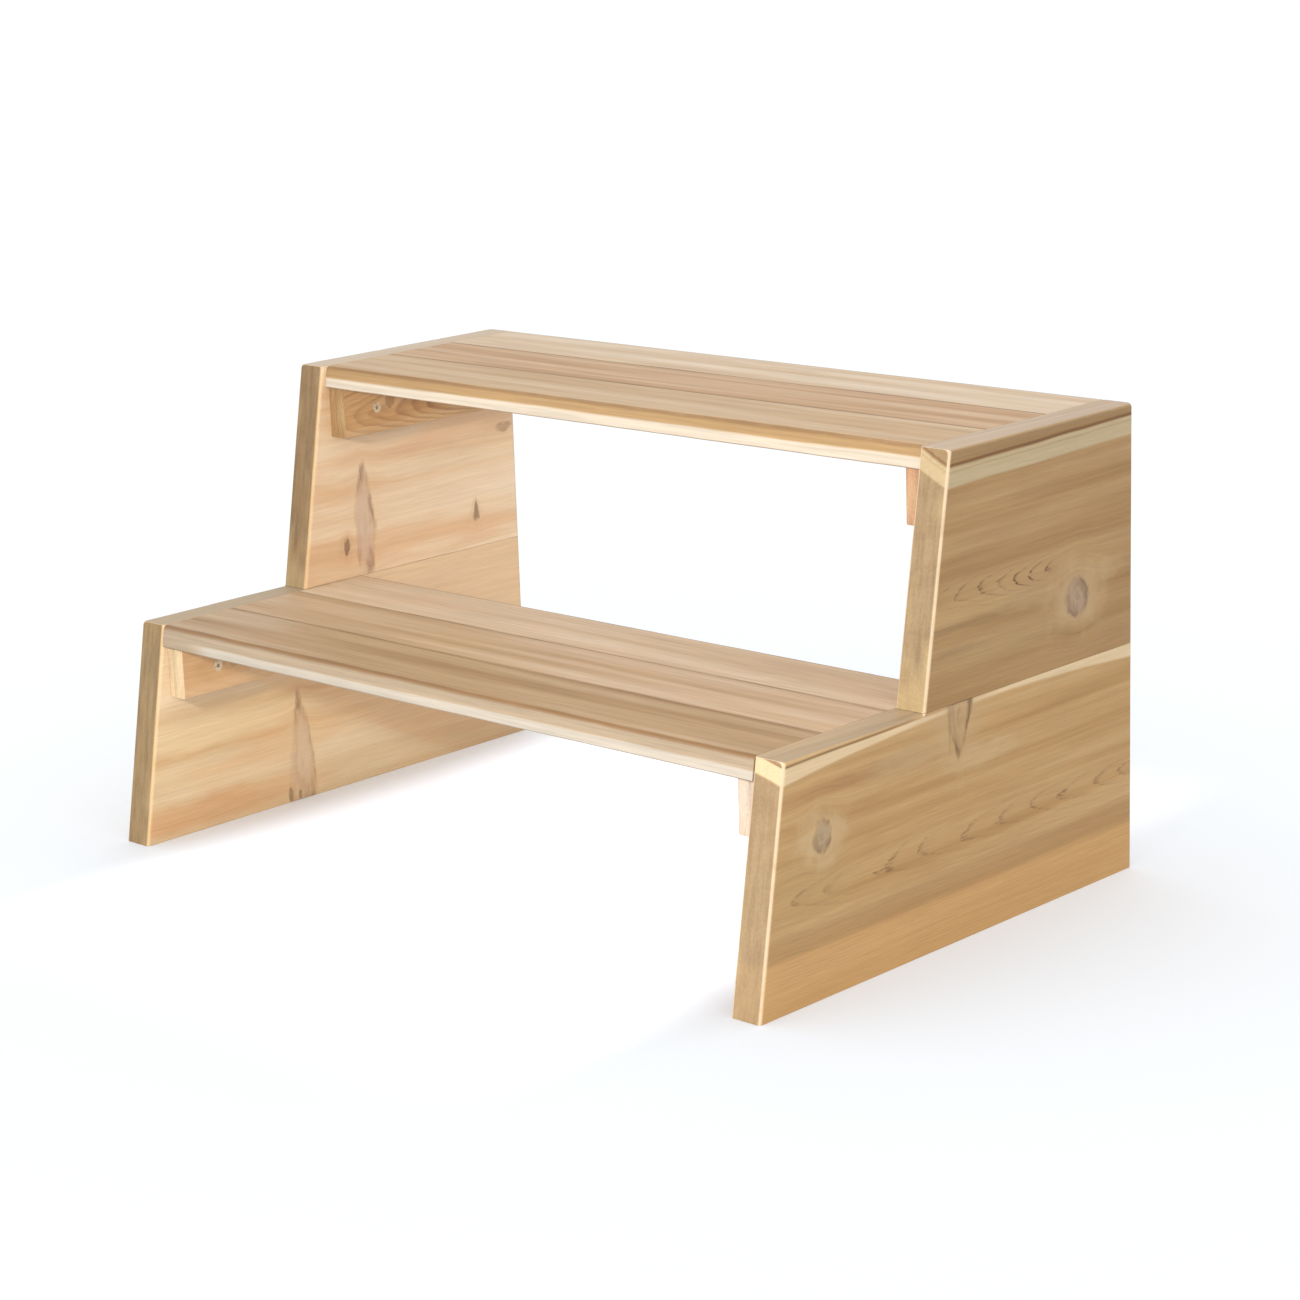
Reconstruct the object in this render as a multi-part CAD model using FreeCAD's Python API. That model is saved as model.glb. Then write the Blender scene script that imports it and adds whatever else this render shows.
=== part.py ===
import FreeCAD, Part
import os
from math import radians, tan

# A two-tread set of cedar spa steps: two edge-glued side panels, two treads of
# three boards each let in between them, four cleats that carry the treads, and
# the screws and dowels that hold it together. Millimetres. +Z is up, the front
# faces -Y, and the origin is on the floor under the middle of the outer box.

# Overall sizes
overall_width = 720.0
overall_depth = 458.0
overall_height = 381.0
lower_step_height = 188.0
lower_step_going = 159.0      # top of the lower front edge to the foot of the upper one
front_lean = radians(10.0)    # both front edges lean back by this much

# Boards
side_thickness = 28.5
side_edge_round = 3.2
tread_thickness = 19.0
tread_board_width = 75.5
tread_board_places = ["front", "middle", "rear"]
tread_nose_round = 4.0        # top front arris of a tread
tread_chin_round = 2.0        # bottom front arris of a tread
seam_round = 0.6              # top arrises on each side of a seam between boards

# Cleats
cleat_thickness = 19.0
cleat_height = 44.0
cleat_length = 214.0
cleat_round = 1.2
lower_cleat_setback = 3.0     # behind the top front edge of the lower step
upper_cleat_setback = 7.0     # behind the top front edge of the upper step

# Screws, all one countersunk pattern
screw_head_radius = 4.6
screw_head_depth = 2.6
screw_shank_radius = 2.4
screw_tip_length = 4.0
screw_tip_radius = 0.4
screw_recess_width = 2.9
screw_recess_depth = 2.2
side_screw_length = 38.0
tread_screw_length = 45.0
tread_screw_counterbore_radius = 5.5
tread_screw_counterbore_depth = 14.0
screw_end_margin = 38.0       # cleat's front end to its first side screw
screw_row_pitch = 71.5        # from one side screw to the next
screw_rows = 3
tread_screw_offset = 20.0     # a tread screw stands this far each side of a side screw

# Dowels in the glue joint of each side panel
dowel_radius = 5.0
dowel_length = 60.0
dowel_count = 4
dowel_end_margin = 34.0

# Places worked out from the sizes above
half_width = overall_width / 2
inner_x = half_width - side_thickness
front_y = -overall_depth / 2
back_y = overall_depth / 2
lower_top_front_y = front_y + lower_step_height * tan(front_lean)
notch_y = lower_top_front_y + lower_step_going
upper_top_front_y = notch_y + (overall_height - lower_step_height) * tan(front_lean)
tread_depth = tread_board_width * len(tread_board_places)

sides = {"left": -1, "right": 1}
tiers = {
    "lower": {
        "top": lower_step_height,
        "tread_front": lower_top_front_y,
        "cleat_front": lower_top_front_y + lower_cleat_setback,
    },
    "upper": {
        "top": overall_height,
        "tread_front": back_y - tread_depth,
        "cleat_front": upper_top_front_y + upper_cleat_setback,
    },
}

vector = FreeCAD.Vector
up = vector(0, 0, 1)


def prism_along_x(outline, low_x, high_x):
    # An outline of (y, z) points carried from low_x to high_x.
    points = [vector(low_x, y, z) for y, z in outline]
    face = Part.Face(Part.makePolygon(points + points[:1]))
    return face.extrude(vector(high_x - low_x, 0, 0))


def edge_between(shape, start, end):
    # The straight edge of a shape that lies on the line from start to end.
    middle = (start + end) * 0.5
    return min(shape.Edges, key=lambda edge: (edge.CenterOfMass - middle).Length)


def side_outline():
    # The stepped outline, as (y, z) points from the floor at the front.
    return [
        (front_y, 0),
        (lower_top_front_y, lower_step_height),
        (notch_y, lower_step_height),
        (upper_top_front_y, overall_height),
        (back_y, overall_height),
        (back_y, 0),
    ]


def side_panel(hand):
    # The whole panel with its arrises rounded, before it is parted into boards.
    # The outer face is rounded all round but at the floor, and the inner face
    # only at the front and the back, because the treads butt against the rest.
    inner = hand * inner_x
    outer = hand * half_width
    outline = side_outline()
    panel = prism_along_x(outline, min(inner, outer), max(inner, outer))
    rounded = []
    for (y1, z1), (y2, z2) in zip(outline, outline[1:]):
        places = [outer] if z1 == z2 else [outer, inner]
        for x in places:
            rounded.append(edge_between(panel, vector(x, y1, z1), vector(x, y2, z2)))
    return panel.makeFillet(side_edge_round, rounded)


def slab(low_z, high_z):
    # A slab wider and deeper than the steps, used to part a panel by height.
    margin = 10.0
    corner = vector(-half_width - margin, front_y - margin, low_z)
    width = overall_width + 2 * margin
    depth = overall_depth + 2 * margin
    return Part.makeBox(width, depth, high_z - low_z, corner)


def tread_board(tier, index):
    # One tread board, its front face leaning with the sides when it is the first.
    top = tiers[tier]["top"]
    bottom = top - tread_thickness
    front = tiers[tier]["tread_front"] + index * tread_board_width
    rear = front + tread_board_width
    is_nose = index == 0
    lean = tread_thickness * tan(front_lean) if is_nose else 0.0
    outline = [(front - lean, bottom), (front, top), (rear, top), (rear, bottom)]
    board = prism_along_x(outline, -inner_x, inner_x)
    nose = edge_between(board, vector(-inner_x, front, top), vector(inner_x, front, top))
    heel = edge_between(board, vector(-inner_x, rear, top), vector(inner_x, rear, top))
    if not is_nose:
        return board.makeFillet(seam_round, [nose, heel])
    chin_start = vector(-inner_x, front - lean, bottom)
    chin_end = vector(inner_x, front - lean, bottom)
    board = board.makeFillet(tread_nose_round, [nose])
    board = board.makeFillet(tread_chin_round, [edge_between(board, chin_start, chin_end)])
    heel_start = vector(-inner_x, rear, top)
    heel_end = vector(inner_x, rear, top)
    return board.makeFillet(seam_round, [edge_between(board, heel_start, heel_end)])


def cleat(tier, hand):
    # A batten on the inner face of a side, tight under the tread.
    top = tiers[tier]["top"] - tread_thickness
    front = tiers[tier]["cleat_front"]
    inner = hand * (inner_x - cleat_thickness)
    low_x = min(inner, hand * inner_x)
    corner = vector(low_x, front, top - cleat_height)
    batten = Part.makeBox(cleat_thickness, cleat_length, cleat_height, corner)
    bottom = top - cleat_height
    rear = front + cleat_length
    free_edge = edge_between(batten, vector(inner, front, bottom), vector(inner, rear, bottom))
    return batten.makeFillet(cleat_round, [free_edge])


def screw_body(head, direction, length):
    # A countersunk screw as a plain turned solid, its head's flat face at head.
    shank_length = length - screw_head_depth - screw_tip_length
    shank_start = head + direction * screw_head_depth
    tip_start = shank_start + direction * shank_length
    cone = Part.makeCone(screw_head_radius, screw_shank_radius, screw_head_depth, head, direction)
    shank = Part.makeCylinder(screw_shank_radius, shank_length, shank_start, direction)
    tip = Part.makeCone(screw_shank_radius, screw_tip_radius, screw_tip_length, tip_start, direction)
    return cone.fuse([shank, tip]).removeSplitter()


def screw(head, direction, length):
    # The turned solid with a square driver recess in its head.
    width = screw_recess_width
    corner = vector(-width / 2, -width / 2, 0)
    recess = Part.makeBox(width, width, screw_recess_depth, corner)
    recess.Placement = FreeCAD.Placement(head, FreeCAD.Rotation(up, direction))
    return screw_body(head, direction, length).cut(recess)


def side_screw_places(tier, hand):
    # Heads of the screws that hold a cleat to its side, at the cleat's mid-height.
    x = hand * (inner_x - cleat_thickness)
    z = tiers[tier]["top"] - tread_thickness - cleat_height / 2
    first_y = tiers[tier]["cleat_front"] + screw_end_margin
    return [vector(x, first_y + row * screw_row_pitch, z) for row in range(screw_rows)]


def tread_screw_places(tier, hand):
    # Heads of the screws that come up through a cleat into the tread boards.
    x = hand * (inner_x - cleat_thickness / 2)
    cleat_bottom = tiers[tier]["top"] - tread_thickness - cleat_height
    z = cleat_bottom + tread_screw_counterbore_depth
    places = []
    for place in side_screw_places(tier, hand):
        for offset in (-tread_screw_offset, tread_screw_offset):
            places.append(vector(x, place.y + offset, z))
    return places


def counterbore(head):
    # The hole below a tread screw's head, open at the bottom of the cleat.
    start = head - up * tread_screw_counterbore_depth
    return Part.makeCylinder(tread_screw_counterbore_radius, tread_screw_counterbore_depth, start, up)


def dowels(hand):
    # Upright dowels half in each board of a side, along the joint behind the notch.
    x = hand * (half_width - side_thickness / 2)
    z = lower_step_height - dowel_length / 2
    first_y = notch_y + dowel_end_margin
    pitch = (back_y - dowel_end_margin - first_y) / (dowel_count - 1)
    starts = [vector(x, first_y + index * pitch, z) for index in range(dowel_count)]
    return [Part.makeCylinder(dowel_radius, dowel_length, start, up) for start in starts]


def export(shape, node):
    shape.exportStep(f"parts/{node}.step")
    print(f"{node}: {shape.Volume / 1000:.1f} cm3 in {len(shape.Solids)} solid(s)")


def build():
    os.makedirs("parts", exist_ok=True)
    tread_holes = {"lower": [], "upper": []}
    for side, hand in sides.items():
        panel_holes = dowels(hand)
        export(Part.makeCompound(dowels(hand)), f"{side}_side_dowels")
        for tier in tiers:
            outward = vector(hand, 0, 0)
            side_heads = side_screw_places(tier, hand)
            tread_heads = tread_screw_places(tier, hand)
            side_bodies = [screw_body(head, outward, side_screw_length) for head in side_heads]
            tread_bodies = [screw_body(head, up, tread_screw_length) for head in tread_heads]
            side_screws = [screw(head, outward, side_screw_length) for head in side_heads]
            tread_screws = [screw(head, up, tread_screw_length) for head in tread_heads]
            holes = side_bodies + tread_bodies + [counterbore(head) for head in tread_heads]
            export(cleat(tier, hand).cut(holes), f"{tier}_{side}_cleat")
            export(Part.makeCompound(side_screws), f"{tier}_{side}_side_screws")
            export(Part.makeCompound(tread_screws), f"{tier}_{side}_tread_screws")
            panel_holes += side_bodies
            tread_holes[tier] += tread_bodies
        panel = side_panel(hand).cut(panel_holes)
        lower_board = panel.common(slab(0, lower_step_height))
        upper_board = panel.common(slab(lower_step_height, overall_height))
        export(lower_board, f"{side}_side_lower_board")
        export(upper_board, f"{side}_side_upper_board")
    for tier in tiers:
        for index, place in enumerate(tread_board_places):
            export(tread_board(tier, index).cut(tread_holes[tier]), f"{tier}_tread_{place}_board")


build()
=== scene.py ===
import bpy
import numpy as np
from math import cos, pi, radians, sin, tan
from mathutils import Matrix, Vector


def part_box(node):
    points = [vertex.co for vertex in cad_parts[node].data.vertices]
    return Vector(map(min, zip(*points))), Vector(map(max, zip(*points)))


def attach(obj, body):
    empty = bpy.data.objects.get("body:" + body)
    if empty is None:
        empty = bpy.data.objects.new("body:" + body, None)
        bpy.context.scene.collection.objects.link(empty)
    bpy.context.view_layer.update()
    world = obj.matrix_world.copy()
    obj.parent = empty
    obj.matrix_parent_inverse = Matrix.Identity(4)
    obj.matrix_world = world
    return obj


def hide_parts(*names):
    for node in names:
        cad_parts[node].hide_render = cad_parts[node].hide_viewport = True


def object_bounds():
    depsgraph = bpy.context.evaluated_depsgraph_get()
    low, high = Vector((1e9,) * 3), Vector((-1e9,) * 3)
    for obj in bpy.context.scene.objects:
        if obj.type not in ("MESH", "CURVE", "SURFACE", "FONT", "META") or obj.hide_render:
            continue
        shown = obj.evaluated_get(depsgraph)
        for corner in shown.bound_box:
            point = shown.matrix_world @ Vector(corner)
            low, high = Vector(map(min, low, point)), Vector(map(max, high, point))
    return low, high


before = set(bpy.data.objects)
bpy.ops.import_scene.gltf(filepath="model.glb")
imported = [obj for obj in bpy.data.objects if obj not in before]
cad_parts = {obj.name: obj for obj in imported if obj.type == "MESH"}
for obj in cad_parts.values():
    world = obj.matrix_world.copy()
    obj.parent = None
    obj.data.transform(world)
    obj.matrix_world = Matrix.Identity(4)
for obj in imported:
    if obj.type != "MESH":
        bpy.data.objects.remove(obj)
cadBox = [list(corner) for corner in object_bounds()]
print("frame loaded:", len(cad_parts), "nodes")

# Colours are given as they look under this light, from 0 to 255.
lightLevel = 1.34    # how bright a white card looks under the lights


def tint(red, green, blue):
    # display colour to the colour of the wood itself, by the usual display curve
    shown = np.array([red, green, blue]) / 255
    linear = np.where(shown <= 0.04045, shown / 12.92, ((shown + 0.055) / 1.055) ** 2.4)
    return (*(linear / lightLevel), 1)


def addNode(tree, kind, **settings):
    node = tree.nodes.new(kind)
    for name, value in settings.items():
        setattr(node, name, value)
    return node


def plug(socket, value):
    # joins the socket to another one, or sets it to a plain value
    if isinstance(value, bpy.types.NodeSocket):
        socket.id_data.links.new(value, socket)
    else:
        socket.default_value = value


def treeOf(*values):
    # the node tree of the first socket among the values
    return next(value.id_data for value in values if isinstance(value, bpy.types.NodeSocket))


def plugAll(node, *values):
    for socket, value in zip(node.inputs, values):
        plug(socket, value)
    return node


def calc(operation, *values):
    return plugAll(addNode(treeOf(*values), "ShaderNodeMath", operation=operation), *values).outputs[0]


def times(first, *others):
    for value in others:
        first = calc("MULTIPLY", first, value)
    return first


def plus(first, *others):
    for value in others:
        first = calc("ADD", first, value)
    return first


def minus(first, second):
    return calc("SUBTRACT", first, second)


def sloped(value, slope, start):
    # the value times the slope, added to the start
    return calc("MULTIPLY_ADD", value, slope, start)


def swing(noise, size):
    # a noise from 0 to 1 turned into a push to either side, this wide in all
    return sloped(noise, size, -size / 2)


def squares(first, second):
    return plus(times(first, first), times(second, second))


def fade(value, start, end, low=0, high=1):
    # a soft step from low at start to high at end
    node = addNode(value.id_data, "ShaderNodeMapRange", interpolation_type="SMOOTHSTEP")
    return plugAll(node, value, start, end, low, high).outputs[0]


def mixColour(factor, first, second, blend="MIX"):
    node = addNode(treeOf(factor, first), "ShaderNodeMix", data_type="RGBA", blend_type=blend)
    for index, value in ((0, factor), (6, first), (7, second)):    # 6 and 7 are its colours
        plug(node.inputs[index], value)
    return node.outputs[2]


def stain(colour, mask, shown):
    # lays a display colour over the wood as far as the mask says
    return mixColour(mask, colour, tint(*shown))


def dotOf(first, second):
    node = addNode(first.id_data, "ShaderNodeVectorMath", operation="DOT_PRODUCT")
    return plugAll(node, first, second).outputs["Value"]


def joinAxes(x, y, z):
    return plugAll(addNode(treeOf(x, y, z), "ShaderNodeCombineXYZ"), x, y, z).outputs[0]


def splitAxes(vector):
    return plugAll(addNode(vector.id_data, "ShaderNodeSeparateXYZ"), vector).outputs


def noiseAt(place, scale, detail=2, roughness=0.5, offset=(0, 0, 0)):
    # the scale says how often the noise turns along each axis
    scaled = addNode(place.id_data, "ShaderNodeVectorMath", operation="MULTIPLY_ADD")
    plugAll(scaled, place, scale, offset)
    node = addNode(place.id_data, "ShaderNodeTexNoise", noise_dimensions="3D")
    plug(node.inputs["Vector"], scaled.outputs[0])
    node.inputs["Scale"].default_value = 1
    node.inputs["Detail"].default_value = detail
    node.inputs["Roughness"].default_value = roughness
    return node.outputs["Fac"]


def addBump(shader, height, distance, strength=1):
    bump = addNode(height.id_data, "ShaderNodeBump")
    bump.inputs["Strength"].default_value = strength
    bump.inputs["Distance"].default_value = distance
    plug(bump.inputs["Height"], height)
    plug(shader.inputs["Normal"], bump.outputs[0])


def plainMaterial(name):
    # returns the material, its shader and the place on the object
    material = bpy.data.materials.new(name)
    material.use_nodes = True
    place = addNode(material.node_tree, "ShaderNodeTexCoord").outputs["Object"]
    return material, material.node_tree.nodes["Principled BSDF"], place


def newObject(name, data):
    thing = bpy.data.objects.new(name, data)
    bpy.context.scene.collection.objects.link(thing)
    return thing


def newGroup(name, inputs, outputs):
    # inputs maps a name to a number or a vector, outputs is a list of names of numbers
    tree = bpy.data.node_groups.new(name, "ShaderNodeTree")
    for label, value in inputs.items():
        kind = "NodeSocketVector" if isinstance(value, tuple) else "NodeSocketFloat"
        socket = tree.interface.new_socket(label, in_out="INPUT", socket_type=kind)
        socket.default_value = value
    for label in outputs:
        tree.interface.new_socket(label, in_out="OUTPUT", socket_type="NodeSocketFloat")
    given = addNode(tree, "NodeGroupInput").outputs
    result = addNode(tree, "NodeGroupOutput").inputs
    return tree, given, result


def useGroup(group, place, **values):
    # a value's name is the socket's name with its spaces left out, and others are passed over
    node = addNode(place.id_data, "ShaderNodeGroup", node_tree=group)
    plug(node.inputs["Place"], place)
    for socket in node.inputs:
        key = socket.name.replace(" ", "")
        key = key[0].lower() + key[1:]
        if key in values:
            plug(socket, values[key])
    return node.outputs


# Every group works in a board's own metres: x along the grain, y across the
# board and z down into it from its show face. A colour or mask fades over a pair
# of numbers: where it starts, and where it is full.

ringShape = {
    "slowBend": (5, 12, 12), "quickBend": (11, 30, 30),    # scales of the noises
    "shake": (160, 420, 420), "scratch": (120, 500, 500), "blotch": (9, 26, 26),
    "thread": (9, 360, 360), "fibre": (34, 900, 900),
    "streak": (2.4, 62, 22),    # along, across, and out from the heart
    "seedTurn": 1.7,
    "shakeShare": 0.3,    # of a ring's width
    "faintest": 0.25,    # the weakest ring, out of 1
    "lineRise": (0.25, 0.88),    # a ring is 0 at its start and 1 at its end
    "lineFall": (1, 0.9),
    "tipRise": (0.68, 0.9),
    "tipFall": (1, 0.95),
    "tipHalfWide": 0.0078,
    "tipDepth": (0.02, 0.008),    # none below the first, all above the second
    "tipStrength": (0.55, 0.6),    # from ring to ring, added to the least
}


def makeGrowthRings():
    # Growth rings are tubes about a heart line that tapers along the board.
    tree, given, result = newGroup(
        "growthRings",
        {
            "Place": (0, 0, 0), "Heart Across": 0, "Heart Depth": -0.05, "Taper": 0.03,
            "Ring Width": 0.0022, "Wander": 0.003, "Seed": 0,
        },
        ["Ring Line", "Tip Line", "Streaks", "Threads", "Fibre", "Blotch"],
    )
    shape = ringShape
    place = given["Place"]
    seed = given["Seed"]
    along, across, depth = splitAxes(place)
    seedShift = joinAxes(seed, times(seed, shape["seedTurn"]), 0)

    def grainNoise(part, detail=2, roughness=0.5):
        return noiseAt(place, shape[part], detail, roughness, seedShift)

    slowBend = times(minus(grainNoise("slowBend"), 0.5), given["Wander"])
    quickBend = times(minus(grainNoise("quickBend"), 0.5), given["Wander"])
    aside = plus(minus(across, given["Heart Across"]), slowBend)
    tapered = times(along, given["Taper"])
    below = plus(minus(depth, given["Heart Depth"]), quickBend, tapered)
    radius = calc("SQRT", squares(aside, below))
    turns = calc("DIVIDE", radius, given["Ring Width"])
    turns = sloped(grainNoise("shake", roughness=0.7), shape["shakeShare"], turns)
    phase = calc("FRACT", turns)
    ringPick = addNode(tree, "ShaderNodeTexWhiteNoise", noise_dimensions="1D")
    plug(ringPick.inputs["W"], calc("FLOOR", turns))
    picked = ringPick.outputs["Value"]
    strength = sloped(picked, 1 - shape["faintest"], shape["faintest"])
    rise = fade(phase, *shape["lineRise"])
    fall = fade(phase, *shape["lineFall"])
    plug(result["Ring Line"], times(rise, fall, strength))

    # where the face is nearest to the heart the rings end in small pointed arches
    rise = fade(phase, *shape["tipRise"])
    fall = fade(phase, *shape["tipFall"])
    offCentre = calc("DIVIDE", aside, shape["tipHalfWide"])
    nearHeart = calc("EXPONENT", times(offCentre, offCentre, -1))
    scratchy = fade(grainNoise("scratch"), 0.35, 0.6)
    strength = sloped(picked, *shape["tipStrength"])
    nearFace = fade(depth, *shape["tipDepth"])
    blotches = grainNoise("blotch")
    patchy = fade(blotches, 0.42, 0.56, 0.55, 1)
    tip = times(rise, fall, nearHeart, scratchy, strength, nearFace, patchy)
    plug(result["Tip Line"], tip)

    # broad streaks run nearly straight and only lean a little with the rings
    streakAlong, streakAcross, streakOut = shape["streak"]
    layer = sloped(radius, streakOut, times(across, streakAcross))
    layerPlace = joinAxes(times(along, streakAlong), layer, seed)
    plug(result["Streaks"], noiseAt(layerPlace, (1, 1, 1), 2.5))
    plug(result["Threads"], grainNoise("thread", 3, 0.6))
    plug(result["Fibre"], grainNoise("fibre", 2, 0.6))
    plug(result["Blotch"], blotches)
    return tree


knotShape = {    # distances in halves of the knot's own size
    "leastWide": 0.15,    # where narrowing ends
    "bulgeScale": (0.9, 0.9, 1),
    "bulge": 0.9,
    "patchScale": (1.3, 1.1, 1),
    "patchAt": (5, 3, 0),
    "roughScale": (260, 120, 90),    # in metres, like the grain
    "rough": 0.5,
    "depthRate": 25,
    "seedRate": 70,
    "core": (1.15, 0.6),
    "rimAt": 0.95,
    "rimWide": 0.34,
    "rimSide": (-0.5, 0.6),    # the rim gathers on this side, and at the tips
    "rimTips": (0.35, 0.9),
    "halo": (2.5, 0.5),
    "haloAlong": 0.6,    # how much a step along the grain counts
    "haloSwing": 2.4,
    "partRate": -0.3,
    "innerRate": 12,
}


def makeKnotGroup():
    # An oval knot through the board. Narrowing makes it a spike. Part slides the
    # place across the board, so that streaks and rings part round the knot.
    tree, given, result = newGroup(
        "knot",
        {
            "Place": (0, 0, 0), "Along": 0, "Across": 0, "Half Along": 0.01, "Half Across": 0.012,
            "Narrowing": 0, "Bend": 0.8,
            "Gathering": 0.4,    # how far the rim keeps to one side and to the tips
        },
        ["Core", "Rim", "Halo", "Part", "Inner Rings"],
    )
    shape = knotShape
    along, across, depth = splitAxes(given["Place"])
    fromMiddle = minus(across, given["Across"])
    up = calc("DIVIDE", fromMiddle, given["Half Across"])
    wide = calc("MAXIMUM", sloped(up, given["Narrowing"], 1), shape["leastWide"])
    side = calc("DIVIDE", minus(along, given["Along"]), given["Half Along"])
    side = calc("DIVIDE", side, wide)

    # noises in the knot's own measure, so that a big knot is as plain as a small one
    knotSeed = times(plus(given["Along"], given["Across"]), shape["seedRate"])
    knotPlace = joinAxes(side, up, sloped(depth, shape["depthRate"], knotSeed))
    bulge = noiseAt(knotPlace, shape["bulgeScale"])
    patchy = noiseAt(knotPlace, shape["patchScale"], offset=shape["patchAt"])
    rough = noiseAt(given["Place"], shape["roughScale"], 3, 0.6)
    square = squares(side, up)
    away = plus(calc("SQRT", square), swing(bulge, shape["bulge"]), swing(rough, shape["rough"]))
    plug(result["Core"], fade(away, *shape["core"]))

    fromRim = calc("ABSOLUTE", minus(away, shape["rimAt"]))
    oneSide = fade(side, *shape["rimSide"])
    tips = fade(calc("ABSOLUTE", up), *shape["rimTips"])
    gathered = calc("MAXIMUM", oneSide, tips)
    spread = minus(1, given["Gathering"])
    rim = times(
        fade(fromRim, shape["rimWide"], 0), fade(patchy, 0.36, 0.62, 0.25, 1),
        sloped(gathered, given["Gathering"], spread),
    )
    plug(result["Rim"], rim)

    # the pale wood about a knot trails off along the grain and keeps no even edge
    trail = calc("SQRT", squares(times(side, shape["haloAlong"]), up))
    trail = plus(trail, swing(bulge, shape["haloSwing"]))
    plug(result["Halo"], fade(trail, *shape["halo"]))
    falloff = calc("EXPONENT", times(square, shape["partRate"]))
    plug(result["Part"], times(falloff, given["Bend"], -1, fromMiddle))
    waves = calc("SINE", times(away, shape["innerRate"]))
    waves = times(sloped(waves, 0.5, 0.5), fade(patchy, 0.35, 0.65))
    plug(result["Inner Rings"], waves)
    return tree


faceShape = {    # how far a face has to turn to count as one or the other
    "end": (0.6, 0.9),
    "edge": (0.6, 0.92),
    "arris": (0.98, 0.84),
    "front": (-0.1, -0.45),
    "wearScale": (60, 60, 60),
}


def makeFaceGroup():
    # Which way a face looks: End is end grain, Edge is the board's narrow sides,
    # Arris is an eased corner, and Front Arris one that looks to the front.
    tree, given, result = newGroup(
        "boardFaces",
        {"Grain Axis": (0, 1, 0), "Edge Axis": (0, 0, 1), "Place": (0, 0, 0)},
        ["End", "Edge", "Arris", "Front Arris"],
    )
    shape = faceShape
    normal = addNode(tree, "ShaderNodeNewGeometry").outputs["Normal"]
    toEnd = calc("ABSOLUTE", dotOf(normal, given["Grain Axis"]))
    toEdge = calc("ABSOLUTE", dotOf(normal, given["Edge Axis"]))
    parts = splitAxes(normal)
    steepness = [calc("ABSOLUTE", part) for part in parts]
    largest = calc("MAXIMUM", calc("MAXIMUM", steepness[0], steepness[1]), steepness[2])
    worn = fade(noiseAt(given["Place"], shape["wearScale"], 3, 0.6), 0.2, 0.55, 0.6, 1)
    arris = times(fade(largest, *shape["arris"]), worn)
    plug(result["End"], fade(toEnd, *shape["end"]))
    plug(result["Edge"], fade(toEdge, *shape["edge"]))
    plug(result["Arris"], arris)
    plug(result["Front Arris"], times(arris, fade(parts[1], *shape["front"])))
    return tree


growthRings = makeGrowthRings()
knotGroup = makeKnotGroup()
boardFaces = makeFaceGroup()
print("wood groups made")

# A board's look adds its heart line (across, and depth from the show face), its seed, where
# its show face is, and its colours: blotches, and the wood's deep, middle and light tones.

plainCedar = {
    "grainAlong": "Y",    # the grain runs along this axis
    "acrossStart": 0,    # where the board starts, across the grain
    "faceSign": 1,    # +1 if the board lies on the low side of its show face
    "taper": -0.05, "ringWidth": 0.0022, "wander": 0.003,
    "ringTint": (142, 100, 62), "ringShow": 0.15,
    "tipTint": (138, 100, 62), "tipShow": 0.55,    # the small arches where the rings end
    "blotchShow": 0.3,
    "endTint": (196, 166, 128), "endShow": 0.7,
    "endPatchTint": (206, 184, 140), "endPatchShow": 0.4,
    "edgeTint": (196, 174, 146), "edgeShow": 0,
    "arrisTint": (214, 184, 142), "arrisShow": 0.35,
    # a painted highlight on the arrises that look to the front, partly the paler sanded wood
    "frontArrisTint": (225, 203, 172), "frontArrisShow": 0,
    "bands": [], "bandOnEdge": 0.3,    # how much of a band shows on the board's narrow sides
    "knots": [],
    "patches": [],    # soft stains: middle, half size, colour and strength
    # the wood is darker along the seams between boards
    "soilTint": (118, 88, 58), "soilShow": 0,
    "threadShow": 0.05,    # how much the fine threads darken and lighten the wood
    "roughness": (0.48, 0.66), "relief": 0.00028,
}

cedarShape = {
    "streakStops": (0.3, 0.5, 0.72),    # where the deep, middle and light woods stand
    "waver": 0.003,    # of a band's level
    "bandSoft": 0.0012,
    "endStreak": (60, 22, 260),    # scales of the end grain's noises
    "endPatch": (10, 13, 34),
    "endPatchAt": (7, 0, 0),
    "endDeep": 0.84,    # its dark streaks against its tint
    "sapKeeps": 0.8,    # share of the end tint that sapwood keeps off
    "fibreSwing": 0.04,
    "coreShow": 0.72,
    "soilReach": (0.0028, 0.0006),
    "patchyRings": 0.45,    # what is left of the ring lines in the blotches
    "roughChange": (-0.08, -0.1, 0.12),    # on ring lines, knots and end grain
    "fibreHigh": 0.5,
    "rise": (0.5, -0.9, 0.4),    # of ring lines, knots' rims and the end grain's streaks
    "bump": 0.6,
}


def makeBand(facing, low, high, colour, show, **more):
    # wood of another colour between two levels, measured along the facing direction
    return {"facing": facing, "low": low, "high": high, "colour": colour, "show": show, **more}


def makeKnot(at, half, core, rim, **more):
    # its middle and half its size, both along and across, and its colours
    return {"at": at, "half": half, "core": core, "rim": rim, **more}


def keepWithin(mask, lengthwise, limits):
    # only from start to end along the board, fading out over the reach
    start, end, reach = limits
    rise = fade(lengthwise, start - reach, start)
    return times(mask, rise, fade(lengthwise, end + reach, end))


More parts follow.
